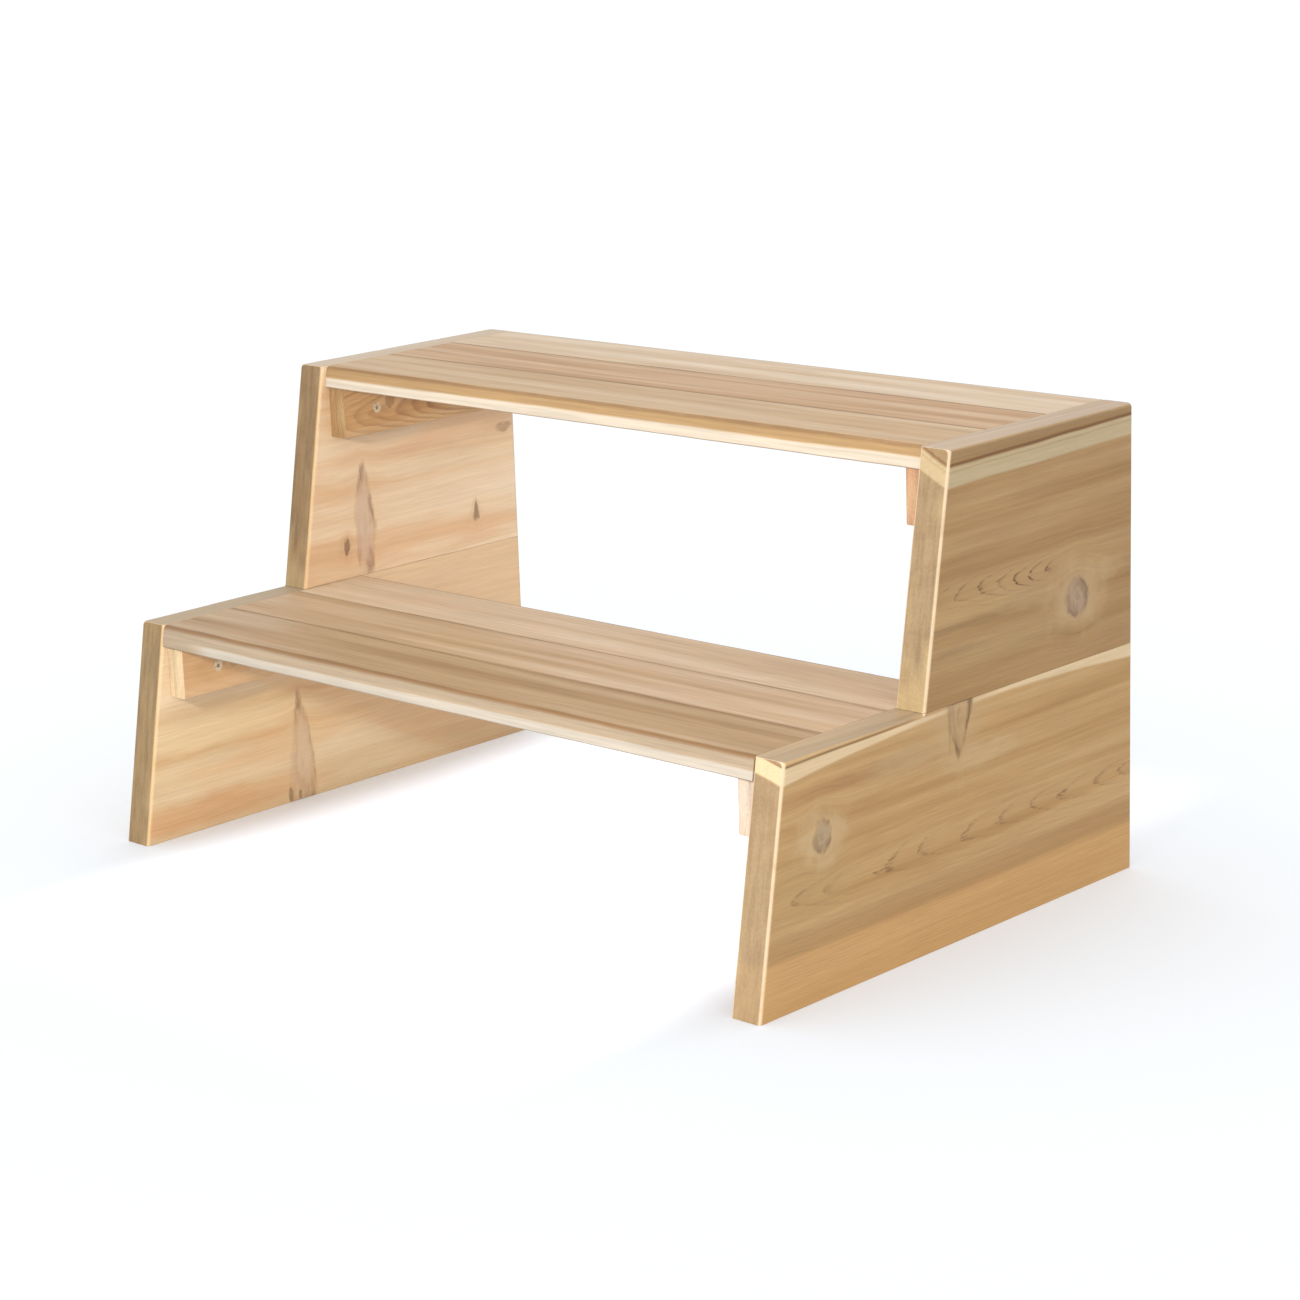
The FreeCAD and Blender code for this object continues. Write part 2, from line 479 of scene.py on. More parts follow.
def bandMask(band, place, lengthwise, blotch, onFace):
    # the lower level may bow: it falls by the square of the distance from bowAt
    level = plus(dotOf(place, band["facing"]), swing(blotch, cedarShape["waver"]))
    fromMiddle = minus(lengthwise, band.get("bowAt", 0))
    bowed = plus(level, times(fromMiddle, fromMiddle, band.get("bow", 0)))
    soft = band.get("soft", cedarShape["bandSoft"])
    above = fade(bowed, band["low"] - soft, band["low"] + soft)
    below = fade(level, band["high"] + soft, band["high"] - soft)
    mask = times(above, below, onFace, band["show"])
    if "within" in band:
        mask = keepWithin(mask, lengthwise, band["within"])
    return mask


def makeHeartwood(look, grain):
    # streaks from dark to light, then blotches
    ramp = addNode(grain["Streaks"].id_data, "ShaderNodeValToRGB")
    stops = ramp.color_ramp.elements
    stops[0].position, middle, stops[1].position = cedarShape["streakStops"]
    stops[0].color, middleColour, stops[1].color = [tint(*shown) for shown in look["wood"]]
    stops.new(middle).color = middleColour
    plug(ramp.inputs[0], grain["Streaks"])
    blotch = times(fade(grain["Blotch"], 0.45, 0.7), look["blotchShow"])
    return stain(ramp.outputs[0], blotch, look["blotchTint"])


def makeEndGrain(look, place):
    shape = cedarShape
    streak = noiseAt(place, shape["endStreak"], 3, 0.6)
    patch = noiseAt(place, shape["endPatch"], offset=shape["endPatchAt"])
    deep = [shape["endDeep"] * part for part in look["endTint"]]
    colour = stain(tint(*look["endTint"]), fade(streak, 0.35, 0.7), deep)
    pale = times(fade(patch, 0.45, 0.68), look["endPatchShow"])
    return stain(colour, pale, look["endPatchTint"]), streak


def useKnot(place, at, half, **more):
    return useGroup(
        knotGroup, place, along=at[0], across=at[1], halfAlong=half[0], halfAcross=half[1], **more
    )


def stainKnot(colour, knot, parts, plainHalo):
    strength = knot.get("show", 1)
    halo = times(parts["Halo"], knot.get("haloShow", 0.35) * strength)
    colour = stain(colour, halo, knot.get("halo", plainHalo))
    innerDark = times(parts["Inner Rings"], knot.get("innerShow", 0.75))
    core = stain(tint(*knot["core"]), innerDark, knot["rim"])
    colour = mixColour(times(parts["Core"], cedarShape["coreShow"] * strength), colour, core)
    rim = times(parts["Rim"], knot.get("rimShow", 0.6) * strength)
    return stain(colour, rim, knot["rim"])


def makeCedar(name, look):
    look = {**plainCedar, **look}
    shape = cedarShape
    material, shader, objectPlace = plainMaterial(name)
    shader.inputs["IOR"].default_value = 1.46
    shader.inputs["Specular IOR Level"].default_value = 0.35

    # the board's own place: along, across, depth
    x, y, z = splitAxes(objectPlace)
    if look["grainAlong"] == "Y":
        lengthwise, sideways, thick = y, z, x
        grainAxis, edgeAxis = (0, 1, 0), (0, 0, 1)
    else:
        lengthwise, sideways, thick = x, y, z
        grainAxis, edgeAxis = (1, 0, 0), (0, 1, 0)
    sign = look["faceSign"]
    depth = sloped(thick, -sign, sign * look["showFace"])
    sideways = minus(sideways, look["acrossStart"])
    place = joinAxes(lengthwise, sideways, depth)
    faces = useGroup(boardFaces, place, grainAxis=grainAxis, edgeAxis=edgeAxis)
    knots = [(knot, useKnot(place, **knot)) for knot in look["knots"]]
    slid = plus(0, *[parts["Part"] for knot, parts in knots])
    slidPlace = joinAxes(lengthwise, plus(sideways, slid), depth)
    heartAcross, heartDepth = look["heart"]
    grain = useGroup(growthRings, slidPlace, heartAcross=heartAcross, heartDepth=heartDepth, **look)
    blotch = grain["Blotch"]
    ringLine = grain["Ring Line"]

    # sapwood and dark heart lines, then patches
    colour = makeHeartwood(look, grain)
    # 0 until a band of sapwood adds to it
    sapMask = addNode(material.node_tree, "ShaderNodeValue").outputs[0]
    onFace = sloped(faces["Edge"], look["bandOnEdge"] - 1, 1)
    for band in look["bands"]:
        mask = bandMask(band, place, lengthwise, blotch, onFace)
        colour = stain(colour, mask, band["colour"])
        if band.get("sapwood"):    # sapwood keeps its colour on edges and ends
            sapMask = calc("MAXIMUM", sapMask, mask)
    for at, half, shown, amount in look["patches"]:
        halo = useKnot(place, at, half)["Halo"]
        colour = stain(colour, times(halo, amount), shown)

    # narrow sides of the board, then end grain
    edge = times(faces["Edge"], look["edgeShow"], minus(1, sapMask))
    colour = stain(colour, edge, look["edgeTint"])
    notSap = sloped(sapMask, -shape["sapKeeps"], 1)
    endColour, endStreak = makeEndGrain(look, place)
    colour = mixColour(times(faces["End"], look["endShow"], notSap), colour, endColour)

    # ring lines, the arches at their tips, and the fine threads and fibres
    ringShow = fade(blotch, 0.3, 0.65, look["ringShow"], look["ringShow"] * shape["patchyRings"])
    colour = stain(colour, times(ringLine, times(ringShow, notSap)), look["ringTint"])
    tips = times(grain["Tip Line"], look["tipShow"])
    if "tipWithin" in look:
        tips = keepWithin(tips, lengthwise, look["tipWithin"])
    colour = stain(colour, tips, look["tipTint"])
    tones = []
    for part, reach in (("Threads", look["threadShow"]), ("Fibre", shape["fibreSwing"])):
        tones.append(fade(grain[part], 0.3, 0.7, 1 - reach, 1 + reach))
    tone = times(*tones)
    colour = mixColour(1, colour, joinAxes(tone, tone, tone), "MULTIPLY")

    coreMask = 0
    rimMask = 0
    for knot, parts in knots:
        colour = stainKnot(colour, knot, parts, look["wood"][2])
        coreMask = calc("MAXIMUM", coreMask, parts["Core"])
        rimMask = calc("MAXIMUM", rimMask, parts["Rim"])

    # the wood is darker along the seams between boards, and not on a front board's nose
    if look["soilShow"]:
        fromSeam = minus(look["boardWide"], sideways)
        if not look["noseBoard"]:
            fromSeam = calc("MINIMUM", sideways, fromSeam)
        seamDark = times(
            fade(fromSeam, *shape["soilReach"]), look["soilShow"],
            fade(grain["Threads"], 0.3, 0.6, 1, 0.6), minus(1, faces["Edge"]),
        )
        colour = stain(colour, seamDark, look["soilTint"])
    colour = stain(colour, times(faces["Arris"], look["arrisShow"]), look["arrisTint"])
    # painted highlight on the arrises that look to the front, partly the paler sanded wood
    front = times(faces["Front Arris"], look["frontArrisShow"])
    colour = stain(colour, front, look["frontArrisTint"])
    plug(shader.inputs["Base Color"], colour)

    # ring lines and knots are harder and shine a little more, end grain less
    smooth, dull = look["roughness"]
    rough = fade(grain["Streaks"], 0.3, 0.7, dull, smooth)
    for mask, change in zip((ringLine, coreMask, faces["End"]), shape["roughChange"]):
        rough = sloped(mask, change, rough)
    plug(shader.inputs["Roughness"], rough)
    height = times(grain["Fibre"], shape["fibreHigh"])
    for mask, rise in zip((ringLine, rimMask, times(endStreak, faces["End"])), shape["rise"]):
        height = sloped(mask, rise, height)
    addBump(shader, height, look["relief"], shape["bump"])
    return material


def waves(along, across, seed, spans):
    # a sum of slow cosines with seeded directions and starts, from 0 to 1
    count = 7
    tilt = 2.2    # how much more a wave turns across than along
    draw = np.random.default_rng(seed)
    total = np.zeros(np.broadcast(along, across).shape)
    for _ in range(count):
        span = draw.uniform(*spans)
        turn = draw.uniform(-0.5, 0.5)
        start = draw.uniform(0, 2 * pi)
        total = total + np.cos(2 * pi * (along * cos(turn) + across * sin(turn) * tilt) / span + start)
    return 0.5 + 0.5 * total / count


def wornShare(shape, distance, seed):
    # how much of its round an arris has along the board
    least, more = shape["wear"]
    return least + more * waves(distance, 0, seed, shape["wearSpans"])


def hollows(shape, along, across, seed):
    return shape["planing"] * waves(along, across, seed + 1, shape["planingSpans"])


def easedEnd(distance, radius):
    # how far a quarter round of this radius has drawn in, at a distance from its end
    reach = radius - np.clip(distance, 0, radius)
    return radius - np.sqrt(np.maximum(radius ** 2 - reach ** 2, 0))


def easedEnds(distance, length, radius):
    return easedEnd(distance, radius) + easedEnd(length - distance, radius)


def stationsAlong(length, radius, step, extra=()):
    # distances along a board: close together in the end rounds, even between them
    gap = 0.0004    # between the last of a round and the first of the even ones
    arc = radius * (1 - np.cos(np.linspace(0, pi / 2, 6)))
    count = int((length - 2 * radius) / step)
    middle = np.linspace(radius + gap, length - radius - gap, count)
    return np.unique(np.round(np.concatenate([arc, middle, length - arc, extra]), 7))


def sectionRing(low, high, radii, flatSteps, arcSteps=5):
    # A rounded rectangle at every station. low and high are its corners (stations, 2),
    # radii its four corner rounds (stations, 4). Each corner is an arc about its own
    # centre, and each flat is a straight run from one arc's end to the next one's start.
    across = (low[:, 0], high[:, 0], high[:, 0], low[:, 0])
    upward = (low[:, 1], low[:, 1], high[:, 1], high[:, 1])
    inward = [(1, 1), (-1, 1), (-1, -1), (1, -1)]
    points, normals = [], []
    for index in range(4):
        radius = radii[:, index, None]
        centreX = across[index][:, None] + inward[index][0] * radius
        centreY = upward[index][:, None] + inward[index][1] * radius
        angle = (pi + index * pi / 2 + np.linspace(0, pi / 2, arcSteps + 1))[None, :]
        points.append(np.stack([centreX + radius * np.cos(angle), centreY + radius * np.sin(angle)], -1))
        flatNormal = np.stack([np.cos(angle), np.sin(angle)], -1)
        normals.append(np.broadcast_to(flatNormal, points[-1].shape))
    ring, outward = [], []
    for index in range(4):
        after = (index + 1) % 4
        ring.append(points[index])
        outward.append(normals[index])
        steps = flatSteps[index % 2]
        # close beside both arcs, so that smooth shading keeps to the rounds
        share = np.concatenate([[0.006], np.linspace(0.03, 0.97, steps), [0.994]])[None, :, None]
        start, end = points[index][:, -1:], points[after][:, :1]
        ring.append(start + (end - start) * share)
        outward.append(np.broadcast_to(normals[index][:, -1:], ring[-1].shape))
    return np.concatenate(ring, 1), np.concatenate(outward, 1)


def meshFromRings(name, points):
    # points is (stations, ring, 3): quads between stations, and a flat cap at each end
    stations, ringSize = points.shape[:2]
    firstOfRow = np.arange(stations - 1)[:, None] * ringSize
    first = firstOfRow + np.arange(ringSize)[None, :]
    following = firstOfRow + np.roll(np.arange(ringSize), -1)[None, :]
    quads = np.stack([first, following, following + ringSize, first + ringSize], -1).reshape(-1, 4)
    caps = [list(range(ringSize))[::-1], list(range((stations - 1) * ringSize, stations * ringSize))]
    flat = points.reshape(-1, 3)
    a, b, c = flat[quads[:, 0]], flat[quads[:, 1]], flat[quads[:, 2]]
    facing = np.einsum("ij,ij->i", np.cross(b - a, c - a), a - flat.mean(0)).sum()
    if facing < 0:    # turned inside out, so every face is read the other way round
        quads = quads[:, ::-1]
        caps = [cap[::-1] for cap in caps]
    mesh = bpy.data.meshes.new(name)
    mesh.from_pydata(flat.tolist(), [], quads.tolist() + caps)
    smooth = np.ones(len(mesh.polygons), dtype=bool)
    smooth[-2:] = False
    mesh.polygons.foreach_set("use_smooth", smooth)
    mesh.update()
    return newObject(name, mesh)


def dents(distance, places, width, depth):
    # small knocks in an arris, each a bell about its own place
    gaps = (distance[:, None] - places[None, :]) / width
    return depth * np.exp(-gaps ** 2).sum(1)


def addBoard(node, points, look):
    piece = meshFromRings(node.replace("_board", ""), points)
    piece.data.materials.append(makeCedar("cedar_" + node, look))
    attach(piece, "root")
    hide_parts(node)


# Each side is two wide boards, the lower one under the whole panel and the upper
# one behind the notch. Both have their grain front to back.

frontLean = radians(10)    # of both front edges, and of the treads' front faces

sideShape = {
    "arris": 0.0032,    # eased edges
    "wear": (0.85, 0.3),    # least share of the arris, and how much more in places
    "arrisMost": 1.35,
    "wearSpans": (0.03, 0.12),    # shortest and longest wave of the wear
    "arrisSteps": 6,    # points down the round at the notch
    "sharp": 0.0002,    # glued and butting edges
    "step": 0.0026,    # between the points of the surface
    "edgeSteps": 10,    # points across the thickness
    "planing": 0.00022,    # depth of the shallow hollows left by planing
    "planingSpans": (0.05, 0.16),
    "dish": 0.0003,    # how far a knot has shrunk
    "dents": 5,
    "dentWidth": 0.0035,
    "dentDepth": 0.0006,
}

paleSide = {    # shared by the two boards of the left side
    "taper": 0.03, "threadShow": 0.035, "tipShow": 0, "endShow": 0.96, "edgeShow": 0.85,
    "arrisTint": (214, 182, 138), "frontArrisTint": (236, 202, 152), "frontArrisShow": 0.5,
}

sideLooks = {
    "right_side_lower_board": {
        "heart": (0.084, -0.03), "wander": 0.006, "seed": 3.1, "tipShow": 0.85,
        "wood": ((190, 148, 94), (203, 162, 107), (213, 175, 121)), "blotchTint": (186, 140, 92),
        "endTint": (152, 134, 108), "edgeTint": (174, 159, 138), "edgeShow": 0.75,
        "frontArrisShow": 0.95,
        "bands": [
            makeBand((0, 1, 0), -0.01, 0.041, (221, 173, 111), 0.75, soft=0.0025),
            makeBand((0, 1, 0), 0.041, 0.06, (186, 143, 94), 0.55, soft=0.006),
            makeBand((-0.018, 1, -0.25), 0.1832, 0.1865, (238, 210, 168), 0.95, bow=0.22, bowAt=0.01,
                sapwood=True),
            makeBand((-0.018, 1, -0.25), 0.1866, 0.1882, (134, 98, 60), 0.8, sapwood=True, soft=0.0007,
                within=(-0.3, -0.055, 0.02)),
        ],
        "knots": [
            makeKnot((-0.156, 0.124), (0.009, 0.0125), (180, 155, 124), (136, 106, 74),
                halo=(216, 184, 138), haloShow=0.75, rimShow=0.8),
            makeKnot((0.005, 0.178), (0.0125, 0.03), (198, 161, 114), (134, 98, 60), narrowing=0.55,
                halo=(206, 172, 126), haloShow=0.5, rimShow=0.9, bend=0.05, innerShow=0.5,
                gathering=0.7),
        ],
        "patches": [
            ((-0.135, 0.158), (0.026, 0.0035), (176, 126, 80), 0.55),
            ((0.03, 0.143), (0.016, 0.006), (211, 178, 130), 0.65),
            ((-0.0065, 0.172), (0.0007, 0.011), (122, 86, 50), 0.8),
            ((0.0195, 0.184), (0.0006, 0.004), (124, 88, 52), 0.7),
            ((0.009, 0.1725), (0.0011, 0.0014), (124, 88, 52), 0.7),
            ((-0.05, 0.158), (0.018, 0.006), (204, 174, 128), 0.5),
            ((-0.18, 0.09), (0.02, 0.014), (200, 168, 116), 0.4),
        ],
    },
    "right_side_upper_board": {
        "heart": (0.270, -0.028), "taper": -0.062, "ringWidth": 0.0015, "wander": 0.005, "seed": 8.4,
        "tipShow": 1.5, "tipTint": (118, 83, 48), "tipWithin": (0, 0.11, 0.02),
        "wood": ((169, 130, 81), (184, 145, 94), (196, 158, 106)), "blotchTint": (166, 126, 84),
        "blotchShow": 0.35, "endTint": (157, 139, 112), "endPatchShow": 0.75,
        "edgeTint": (216, 196, 176), "edgeShow": 0.85, "frontArrisShow": 0.95,
        "bands": [
            makeBand((-0.02, 1, -0.45), 0.3525, 0.3672, (204, 182, 142), 0.94, sapwood=True),
            makeBand((-0.018, 1, -0.45), 0.3632, 0.3645, (176, 148, 108), 0.5, sapwood=True, soft=0.0008),
            makeBand((-0.016, 1, -0.45), 0.3680, 0.3705, (128, 88, 52), 0.85, sapwood=True, soft=0.0008),
            makeBand((-0.016, 1, -0.45), 0.3715, 0.42, (162, 130, 92), 0.6, sapwood=True),
        ],
        "knots": [
            makeKnot((0.155, 0.240), (0.012, 0.0145), (178, 150, 128), (132, 102, 78),
                halo=(204, 172, 128), haloShow=0.7, rimShow=0.8),
        ],
        "patches": [
            ((0.012, 0.246), (0.022, 0.0022), (150, 116, 76), 0.5),
            ((0, 0.228), (0.012, 0.0022), (148, 114, 74), 0.4),
            ((0.186, 0.256), (0.01, 0.006), (199, 166, 118), 0.55),
            ((0.098, 0.25), (0.018, 0.005), (196, 164, 116), 0.5),
            ((0.06, 0.222), (0.04, 0.006), (192, 160, 112), 0.4),
        ],
    },
    "left_side_lower_board": {
        **paleSide, "heart": (0.13, -0.075), "seed": 14.7, "ringShow": 0.09,
        "wood": ((212, 174, 127), (225, 196, 154), (235, 210, 172)), "blotchTint": (230, 182, 130),
        "blotchShow": 0.4, "ringTint": (190, 142, 94), "endTint": (155, 129, 91),
        "edgeTint": (178, 160, 134),
        "bands": [
            makeBand((0, 1, 0), 0.115, 0.21, (241, 214, 178), 0.85, soft=0.022),
            # painted shadow of the lower tread's front edge: warm, darker wood behind a slanting line, on
            # the inner face only
            makeBand((0.5, 1, 10), 0.352, 0.6, (224, 176, 126), 0.4, soft=0.005,
                within=(-0.1, 0.3, 0.04)),
        ],
        "knots": [
            makeKnot((-0.052, 0.038), (0.0125, 0.05), (212, 180, 150), (150, 110, 70), narrowing=-0.4,
                halo=(228, 190, 142), haloShow=0.25, rimShow=0.9, show=0.85, bend=0.12, innerShow=0.35,
                gathering=0.85),
            makeKnot((-0.067, 0.007), (0.0026, 0.0055), (158, 122, 82), (128, 96, 62), haloShow=0.1,
                bend=0.2),
            makeKnot((-0.056, 0.004), (0.0018, 0.005), (166, 128, 88), (136, 102, 66), haloShow=0.1,
                bend=0.2),
        ],
        "patches": [
            ((-0.17, 0.016), (0.045, 0.009), (214, 160, 110), 0.65),
            ((-0.15, 0.085), (0.04, 0.008), (243, 214, 166), 0.5),
        ],
    },
    "left_side_upper_board": {
        **paleSide, "heart": (0.31, -0.08), "seed": 21.3, "ringShow": 0.08,
        "wood": ((233, 194, 152), (244, 216, 181), (249, 227, 197)), "blotchTint": (232, 184, 140),
        "blotchShow": 0.45, "ringTint": (196, 148, 102), "endTint": (142, 114, 78),
        "edgeTint": (207, 188, 164),
        "knots": [
            makeKnot((0.038, 0.238), (0.011, 0.045), (212, 182, 160), (158, 118, 86), narrowing=-0.25,
                halo=(236, 198, 158), haloShow=0.3, rimShow=0.9, show=0.85, bend=0.12, innerShow=0.3,
                gathering=0.75),
            makeKnot((0.015, 0.217), (0.0035, 0.007), (136, 100, 66), (114, 82, 54), haloShow=0.3,
                bend=0.5, halo=(206, 162, 118)),
            makeKnot((0.175, 0.222), (0.0032, 0.0092), (140, 102, 68), (118, 86, 58), narrowing=-0.6,
                haloShow=0.3, bend=0.5, halo=(214, 170, 126)),
            makeKnot((0.214, 0.294), (0.010, 0.0042), (170, 130, 94), (146, 110, 76), haloShow=0.4,
                bend=0.4, halo=(216, 176, 136), show=0.7),
        ],
        "patches": [
            ((0, 0.265), (0.02, 0.007), (226, 178, 128), 0.5),
            ((0.12, 0.172), (0.06, 0.003), (220, 170, 130), 0.4),
            ((0.13, 0.255), (0.05, 0.008), (246, 218, 186), 0.5),
        ],
    },
}


def makeSideBoard(node):
    # A rounded rectangle across the board, carried from its leaning front end to its
    # upright back end. Near an end it draws in by a quarter round on both faces.
    shape = sideShape
    look = sideLooks[node]
    low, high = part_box(node)
    onRight = high[0] > 0
    isLower = "lower" in node
    leanRun = tan(frontLean)
    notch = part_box(node.replace("lower", "upper"))[0][1]    # front foot of the upper board
    length = high[1] - low[1]
    frontTop = low[1] + (high[2] - low[2]) * leanRun
    notchAt = (notch - frontTop) / (high[1] - frontTop) * length
    notchRow = notchAt + np.linspace(0, shape["arris"], shape["arrisSteps"]) if isLower else ()
    distance = stationsAlong(length, shape["arris"], shape["step"], notchRow)
    seed = int(look["seed"] * 10)
    draw = np.random.default_rng(seed)

    drawIn = easedEnds(distance, length, shape["arris"])
    edgeIn = easedEnds(distance, length, shape["sharp"])
    sectionLow = np.stack([low[0] + drawIn, low[2] + edgeIn], -1)
    sectionHigh = np.stack([high[0] - drawIn, high[2] - edgeIn], -1)
    ease = shape["arris"] * wornShare(shape, distance, seed)
    dentPlaces = draw.uniform(0, length, shape["dents"])
    ease = ease + dents(distance, dentPlaces, shape["dentWidth"], shape["dentDepth"])
    ease = np.minimum(ease, shape["arris"] * shape["arrisMost"])
    if isLower:    # eased in front of the notch, then closed up into the glue joint
        ease = np.where(distance < notchAt, ease, easedEnd(distance - notchAt, shape["arris"]))
    ease = np.maximum(ease, shape["sharp"])
    radii = np.full((len(distance), 4), shape["sharp"])
    radii[:, 2 if onRight else 3] = ease    # the top corner on the outer face
    acrossSteps = int((high[2] - low[2]) / shape["step"])
    section, outward = sectionRing(sectionLow, sectionHigh, radii, (shape["edgeSteps"], acrossSteps))

    # a row's place is its share of the way from the leaning front to the back, and
    # the hollows push in against the outward direction
    along = distance[:, None]
    hollow = hollows(shape, along, section[:, :, 1], seed)
    share = along / length
    frontAt = low[1] + (section[:, :, 1] - low[2]) * leanRun
    reach = frontAt + share * (high[1] - frontAt)
    for knot in look["knots"]:
        gapAlong = (reach - knot["at"][0]) / knot["half"][0]
        gapAcross = (section[:, :, 1] - knot["at"][1]) / knot["half"][1]
        hollow = hollow + shape["dish"] * np.exp(-gapAlong ** 2 - gapAcross ** 2)
    section = section - outward * hollow[:, :, None]
    points = np.stack([section[:, :, 0], reach, section[:, :, 1]], -1)
    look = {**look, "showFace": high[0] if onRight else low[0], "faceSign": 1 if onRight else -1}
    addBoard(node, points, look)


for node in sideLooks:
    makeSideBoard(node)
print("side boards made")

# Three boards to a tread, grain from side to side. Only the front board has a
# rounded nose and the lean of the sides.

treadShape = {
    "nose": 0.004,    # front arrises of a front board, top and bottom
    "chin": 0.002,
    "seam": 0.0007,
    "sharp": 0.0004,
    "wear": (0.8, 0.4),    # least share of a round, and how much more in places
    "step": 0.0034,
    "edgeSteps": 7,
    "planing": 0.00016,
    "wearSpans": (0.04, 0.2),
    "planingSpans": (0.06, 0.22),
}

treadBase = {
    "grainAlong": "X", "bandOnEdge": 1, "taper": 0.02, "wander": 0.004, "ringShow": 0.2,
    "tipShow": 0, "ringTint": (164, 124, 84), "blotchShow": 0.35, "threadShow": 0.09,
    "arrisTint": (150, 116, 80), "arrisShow": 0.5, "endShow": 0.5, "soilShow": 0.75,
}

noseLook = {    # the front board: warm front face, pale sapwood along its lower half
    "edgeShow": 0.85, "arrisTint": (140, 104, 66), "arrisShow": 0.6,
}

burnishedNose = makeBand((0, 1, 1), -0.01, 0.0026, (140, 104, 66), 0.65)

treadLooks = {
    "lower_tread_front_board": {
        **noseLook, "heart": (0.045, -0.07), "seed": 31.5,
        "wood": ((165, 133, 98), (185, 155, 119), (198, 170, 136)), "blotchTint": (184, 146, 106),
        "edgeTint": (171, 154, 132),
        "bands": [
            makeBand((0, -0.35, 1), 0.0112, 0.06, (194, 185, 172), 0.97, sapwood=True,
                within=(-0.268, 0.4, 0.045)),
            {**burnishedNose, "high": 0.0034, "colour": (122, 88, 54), "show": 0.85},
        ],
    },
    "lower_tread_middle_board": {
        "heart": (-0.02, -0.12), "seed": 37.2,
        "wood": ((190, 158, 122), (208, 178, 145), (220, 193, 164)), "blotchTint": (213, 176, 134),
    },
    "lower_tread_rear_board": {
        "heart": (0.03, -0.09), "seed": 43.8,
        "wood": ((220, 193, 162), (232, 208, 179), (238, 217, 191)), "blotchTint": (232, 196, 160),
    },
    "upper_tread_front_board": {
        **noseLook, "heart": (0.05, -0.08), "seed": 52.6,
        "wood": ((198, 165, 127), (208, 177, 138), (216, 187, 150)), "blotchTint": (209, 176, 140),
        "edgeTint": (175, 141, 96),
        "bands": [
            makeBand((0, -0.35, 1), 0.0105, 0.06, (217, 205, 188), 0.97, sapwood=True),
            burnishedNose,
        ],
    },
    "upper_tread_middle_board": {
        "heart": (0.02, -0.1), "seed": 58.1,
        "wood": ((188, 150, 110), (206, 168, 128), (218, 183, 145)), "blotchTint": (202, 164, 126),
    },
    "upper_tread_rear_board": {
        "heart": (0.05, -0.13), "seed": 66.9,
        "wood": ((216, 187, 154), (227, 202, 172), (235, 213, 186)), "blotchTint": (226, 202, 166),
    },
}


def makeTreadBoard(node):
    # A rounded rectangle across the board, carried from side to side. The front
    # board's face is then leaned by sliding each row forward by its depth.
    shape = treadShape
    look = treadLooks[node]
    low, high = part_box(node)
    isNose = "front" in node
    length = high[0] - low[0]
    distance = stationsAlong(length, shape["sharp"], shape["step"])
    seed = int(look["seed"] * 10)
    leanRun = tan(frontLean) if isNose else 0
    frontTop = low[1] + (high[2] - low[2]) * leanRun
    boardWide = high[1] - frontTop
    drawIn = easedEnds(distance, length, shape["sharp"])
    sectionLow = np.stack([frontTop + drawIn, low[2] + drawIn], -1)
    sectionHigh = np.stack([high[1] - drawIn, high[2] - drawIn], -1)
    worn = wornShare(shape, distance, seed)
    radii = np.full((len(distance), 4), shape["sharp"])
    radii[:, 0] = shape["chin"] * worn if isNose else shape["sharp"]
    radii[:, 2] = shape["seam"] * worn
    radii[:, 3] = (shape["nose"] if isNose else shape["seam"]) * worn
    acrossSteps = int(boardWide / shape["step"])
    section, outward = sectionRing(sectionLow, sectionHigh, radii, (acrossSteps, shape["edgeSteps"]))
    along = distance[:, None]
    hollow = hollows(shape, along, section[:, :, 0], seed)
    section = section - outward * hollow[:, :, None]
    forward = 1 - (section[:, :, 0] - frontTop) / boardWide    # 1 at the front, 0 at the back
    acrossAt = section[:, :, 0] - (high[2] - section[:, :, 1]) * leanRun * forward
    points = np.stack([low[0] + along + 0 * acrossAt, acrossAt, section[:, :, 1]], -1)
    look = {
        **treadBase, **look,
        "showFace": high[2], "acrossStart": frontTop, "boardWide": boardWide, "noseBoard": isNose,
    }
    addBoard(node, points, look)


for node in treadLooks:
    makeTreadBoard(node)
print("tread boards made")

# The cleats keep their own solids, with their screw holes, and take a cedar each.

cleatBase = {
    "heart": (0.15, -0.04), "taper": -0.12, "ringWidth": 0.0026, "wander": 0.008, "ringShow": 0.3,
    "tipShow": 0, "wood": ((205, 160, 112), (218, 176, 128), (228, 192, 148)),
    "ringTint": (168, 118, 74), "blotchTint": (222, 172, 122), "endShow": 0.9,
    "arrisTint": (206, 170, 130),
}

cleatLooks = {
    "lower_left_cleat": {
        "seed": 71, "endTint": (232, 208, 170),
        "knots": [
            makeKnot((-0.137, 0.147), (0.004, 0.004), (196, 164, 120), (170, 130, 90), haloShow=0.2,
                bend=0.4),
        ],
    },
    "lower_right_cleat": {"seed": 74, "endTint": (224, 206, 190)},
    "upper_left_cleat": {
        "heart": (0.335, -0.03), "seed": 77, "ringShow": 0.75,
        "wood": ((198, 150, 100), (213, 168, 116), (224, 185, 138)), "ringTint": (146, 98, 58),
        "endTint": (176, 142, 98),
        "knots": [
            makeKnot((0.058, 0.344), (0.005, 0.006), (176, 132, 86), (140, 100, 62), haloShow=0.3),
        ],
    },
    "upper_right_cleat": {"heart": (0.335, -0.03), "seed": 79, "endTint": (206, 160, 128)},
}


def dress(node, material):
    # a kept solid takes this material in place of its plain one
    solid = bpy.data.objects[node]
    solid.data.materials.clear()
    solid.data.materials.append(material)


